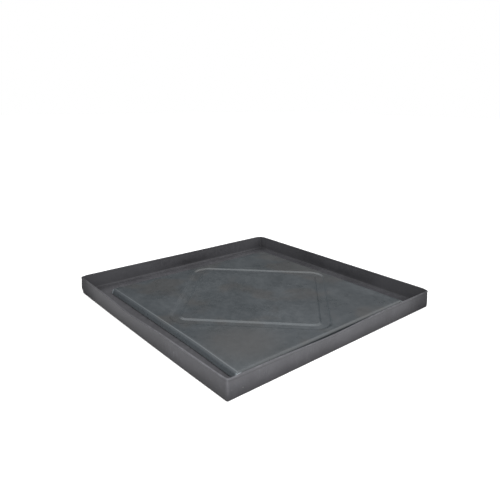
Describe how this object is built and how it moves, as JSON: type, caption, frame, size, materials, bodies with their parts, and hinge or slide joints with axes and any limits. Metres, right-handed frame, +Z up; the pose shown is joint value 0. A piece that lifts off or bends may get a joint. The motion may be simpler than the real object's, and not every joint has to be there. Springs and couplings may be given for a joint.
{
  "type": "spill containment pallet",
  "caption": "Low square black spill tray with a lift-out deck on a half-lapped support grid, and a gutter all round the deck.",
  "frame": {"origin": "middle of the sump tray's underside, on the floor it stands on", "axes": "+Z up, X and Y along the sides of the square tray; the corner nearest the viewer in the source picture is at -X -Y"},
  "size_m": [1.34, 1.34, 0.094],
  "materials": {
    "tray_plastic": "satin black moulded polyethylene, faint grain and scuffs",
    "deck_plastic": "semi-gloss black moulded polyethylene with fine drag scuffs",
    "grid_plastic": "satin black sawn polyethylene bar"
  },
  "bodies": {
    "tray": {"sump_tray": "tray_plastic"},
    "grid": {"support_runner_1": "grid_plastic", "support_runner_2": "grid_plastic", "support_runner_3": "grid_plastic", "support_runner_4": "grid_plastic", "support_runner_5": "grid_plastic", "support_runner_6": "grid_plastic", "support_runner_7": "grid_plastic", "support_runner_8": "grid_plastic", "support_runner_9": "grid_plastic", "support_cross_1": "grid_plastic", "support_cross_2": "grid_plastic", "support_cross_3": "grid_plastic", "support_cross_4": "grid_plastic", "support_cross_5": "grid_plastic", "support_cross_6": "grid_plastic", "support_cross_7": "grid_plastic", "support_cross_8": "grid_plastic", "support_cross_9": "grid_plastic"},
    "deck": {"deck_plate": "deck_plastic"}
  },
  "joints": [
    {"name": "grid_lift", "type": "slide", "parent": "tray", "child": "grid", "axis": [0, 0, 1], "range_m": [0, 0.15]},
    {"name": "deck_lift", "type": "slide", "parent": "grid", "child": "deck", "axis": [0, 0, 1], "range_m": [0, 0.15]}
  ]
}
